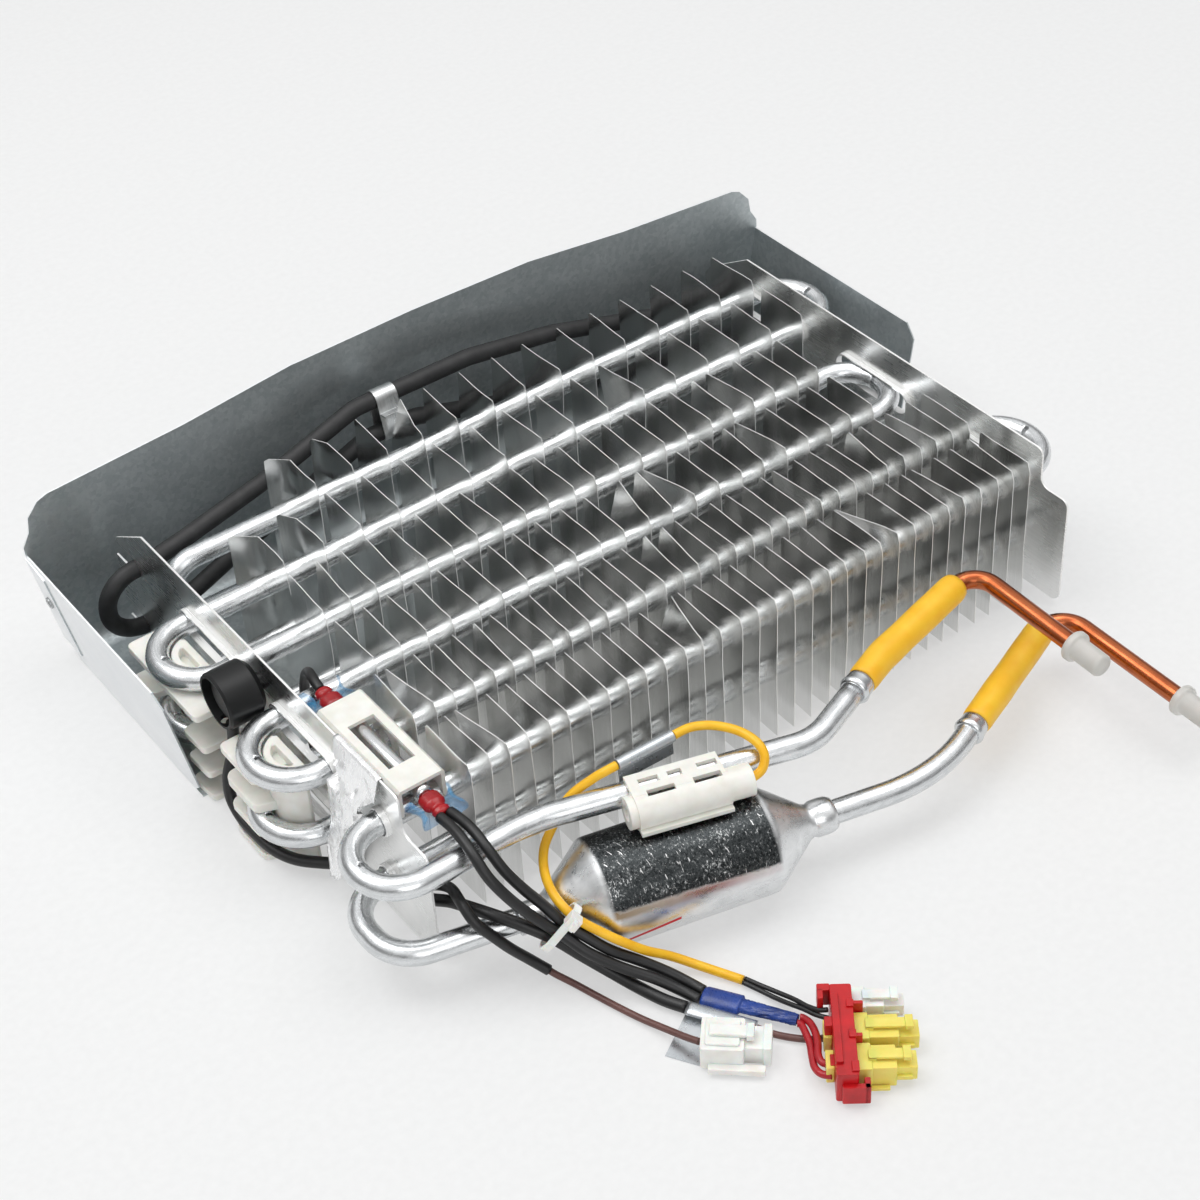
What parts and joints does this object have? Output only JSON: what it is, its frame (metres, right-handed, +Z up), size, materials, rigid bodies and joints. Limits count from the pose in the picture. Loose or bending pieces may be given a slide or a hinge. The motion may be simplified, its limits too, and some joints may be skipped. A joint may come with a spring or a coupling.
{
  "type": "refrigerator evaporator coil",
  "caption": "Finned serpentine cooling coil for a refrigerator, with an accumulator, a defrost heater, a sheet metal tray, sensors and capped copper ends.",
  "frame": {"origin": "on the surface that the part lies on, below the middle of its box, the free leads and their plugs left out", "axes": "+X along the tubes, towards the plate with three outer bends; +Y from the connections to the tray wall; +Z up"},
  "size_m": [0.3268, 0.3339, 0.079],
  "materials": {
    "galvanised_steel": "satin galvanised sheet with a fine spangle",
    "plate_aluminium": "bright rolled sheet",
    "tube_aluminium": "bright drawn tube, lightly scratched",
    "fin_aluminium": "bright thin sheet",
    "accumulator_aluminium": "spun, scratched",
    "copper": "drawn copper with heat tint",
    "shrink_yellow": "satin",
    "cap_white": "slightly clear",
    "heater_sheath": "matt black sheath",
    "black_rubber": "satin rubber",
    "strap_steel": "bright strip",
    "holder_white": "satin moulded",
    "switch_body": "potted, satin",
    "fuse_metal": "bright can",
    "terminal_red": "gloss",
    "sleeve_clear_blue": "clear tinted film",
    "foil": "creased foil tape",
    "label_grey": "printed film, left blank",
    "lead_yellow": "satin sleeve",
    "lead_black": "satin sleeve",
    "wire_brown": "satin",
    "wire_red": "satin",
    "shrink_blue": "satin shrink tube",
    "nylon_white": "satin nylon",
    "plug_red": "satin nylon",
    "plug_yellow": "satin nylon"
  },
  "bodies": {
    "root": {"tray": "galvanised_steel", "tray_rivets": "strap_steel", "end_plate_left": "plate_aluminium", "end_plate_right": "plate_aluminium", "coil_tube": "tube_aluminium", "fins_row_1": "fin_aluminium", "fins_row_2": "fin_aluminium", "fins_row_3": "fin_aluminium", "fins_row_4": "fin_aluminium", "fins_row_5": "fin_aluminium", "fins_row_6": "fin_aluminium", "accumulator": "accumulator_aluminium", "outlet_tube": "tube_aluminium", "joint_ring_inlet": "tube_aluminium", "joint_ring_outlet": "tube_aluminium", "shrink_sleeve_inlet": "shrink_yellow", "shrink_sleeve_outlet": "shrink_yellow", "copper_tube_inlet": "copper", "copper_tube_outlet": "copper", "cap_inlet": "cap_white", "cap_outlet": "cap_white", "heater": "heater_sheath", "heater_end_seals": "black_rubber", "heater_strap": "strap_steel", "tube_holder_1": "holder_white", "tube_holder_2": "holder_white", "defrost_switch_boot": "black_rubber", "defrost_switch": "switch_body", "fuse_bracket": "holder_white", "fuse": "fuse_metal", "fuse_terminals": "terminal_red", "fuse_sleeves": "sleeve_clear_blue", "foil_tape": "foil", "sensor_holder": "holder_white", "sensor_probe": "cap_white", "sensor_label_sleeve": "label_grey", "sensor_label": "label_grey", "sensor_lead_loop": "lead_yellow", "sensor_lead": "lead_yellow", "sensor_wires": "lead_black", "switch_lead": "lead_black", "switch_label_sleeve": "label_grey", "switch_label": "label_grey", "brown_wire_switch": "wire_brown", "fuse_lead_far": "lead_black", "brown_wire_fuse": "wire_brown", "fuse_lead_near_1": "lead_black", "fuse_lead_near_2": "lead_black", "blue_heat_shrink": "shrink_blue", "red_wires": "wire_red", "cable_tie": "nylon_white", "inline_connector": "nylon_white", "red_housing": "plug_red", "white_plug": "nylon_white", "yellow_plug_1": "plug_yellow", "yellow_plug_2": "plug_yellow"}
  },
  "joints": []
}
